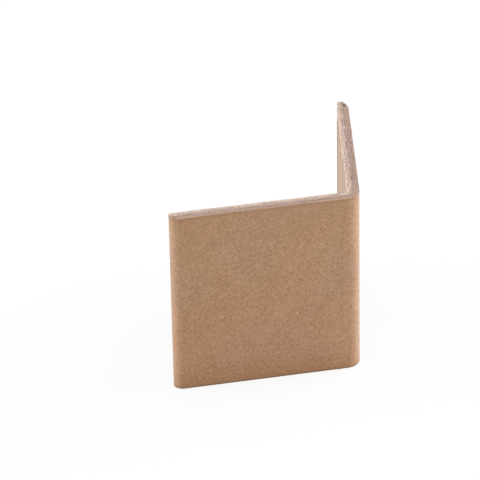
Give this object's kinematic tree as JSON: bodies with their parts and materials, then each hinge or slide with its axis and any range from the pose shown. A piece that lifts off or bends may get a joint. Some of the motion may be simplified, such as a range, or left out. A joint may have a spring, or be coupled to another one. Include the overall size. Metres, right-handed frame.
{
  "type": "pallet edge protector",
  "caption": "Short angle-board edge protector: laminated kraft board with wrapped, rounded long edges, folded to an open right angle to guard a load's corner under strapping.",
  "frame": {"origin": "bottom centre of the bounding box, on the surface that the lower cut end stands on", "axes": "+Z along the fold, +X along the front leg from its long edge to the fold, +Y from the front leg into the angle"},
  "size_m": [0.0688, 0.0596, 0.063],
  "materials": {
    "kraft_board": "matt brown kraft paper over laminated board"
  },
  "bodies": {
    "root": {"edge_protector": "kraft_board"}
  },
  "joints": []
}
